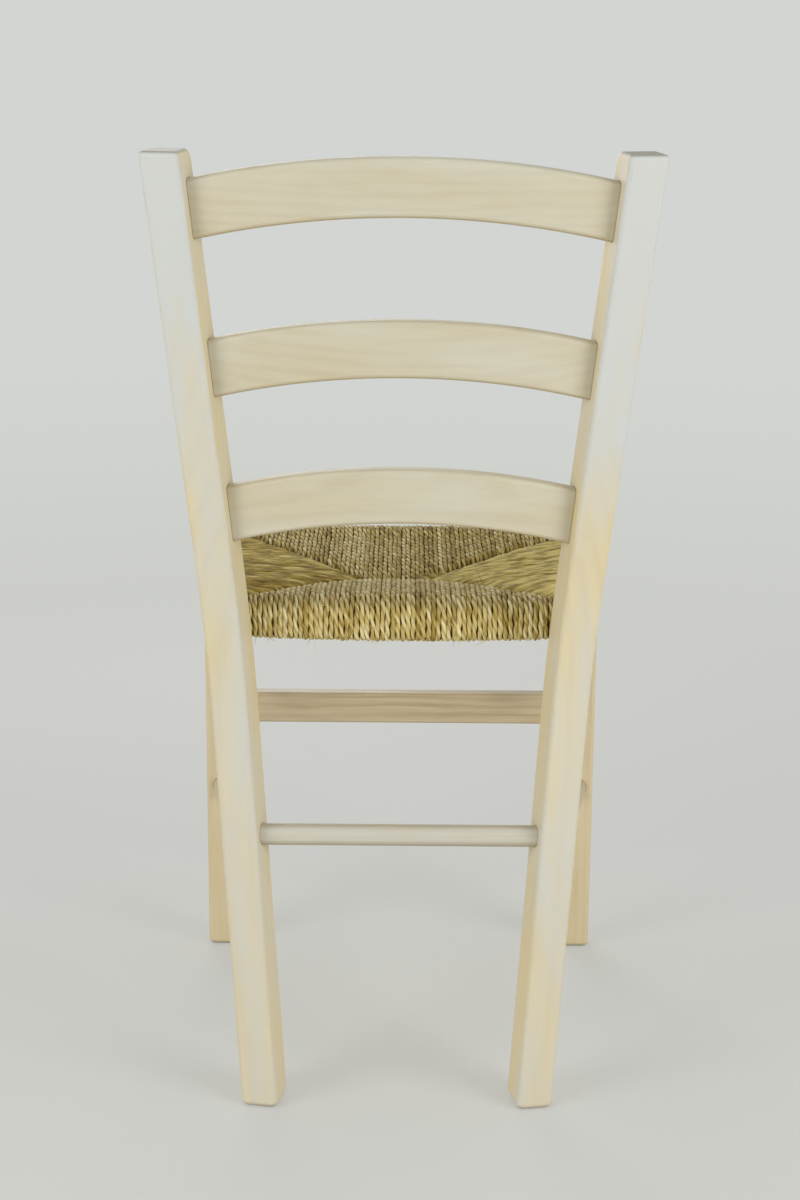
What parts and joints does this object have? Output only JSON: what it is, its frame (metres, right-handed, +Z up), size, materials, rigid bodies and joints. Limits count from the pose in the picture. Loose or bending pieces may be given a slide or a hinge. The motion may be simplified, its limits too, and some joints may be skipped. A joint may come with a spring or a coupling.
{
  "type": "dining chair",
  "caption": "Ladderback dining chair in bleached beech: splayed bent back posts, bowed arched slats, round rungs, flat front stretcher and a mitred rush seat.",
  "frame": {"origin": "on the floor, under the middle of the chair's bounding box", "axes": "+Z up, -Y the way the sitter looks, +X the sitter's left"},
  "size_m": [0.437, 0.4726, 0.879],
  "materials": {
    "bleached_beech": "whitewashed, satin",
    "rush": "twisted sedge cord, matte",
    "straw": "loose straw, matte"
  },
  "bodies": {
    "root": {"rear_post_left": "bleached_beech", "rear_post_right": "bleached_beech", "front_leg_left": "bleached_beech", "front_leg_right": "bleached_beech", "slat_top": "bleached_beech", "slat_middle": "bleached_beech", "slat_lower": "bleached_beech", "front_stretcher": "bleached_beech", "rear_rung": "bleached_beech", "side_rung_upper_left": "bleached_beech", "side_rung_upper_right": "bleached_beech", "side_rung_lower_left": "bleached_beech", "side_rung_lower_right": "bleached_beech", "seat_rail_front": "bleached_beech", "seat_rail_rear": "bleached_beech", "seat_rail_left": "bleached_beech", "seat_rail_right": "bleached_beech", "rush_panel_front": "rush", "rush_panel_rear": "rush", "rush_panel_left": "rush", "rush_panel_right": "rush", "straw_packing_front": "straw", "straw_packing_rear": "straw", "straw_packing_left": "straw", "straw_packing_right": "straw"}
  },
  "joints": []
}
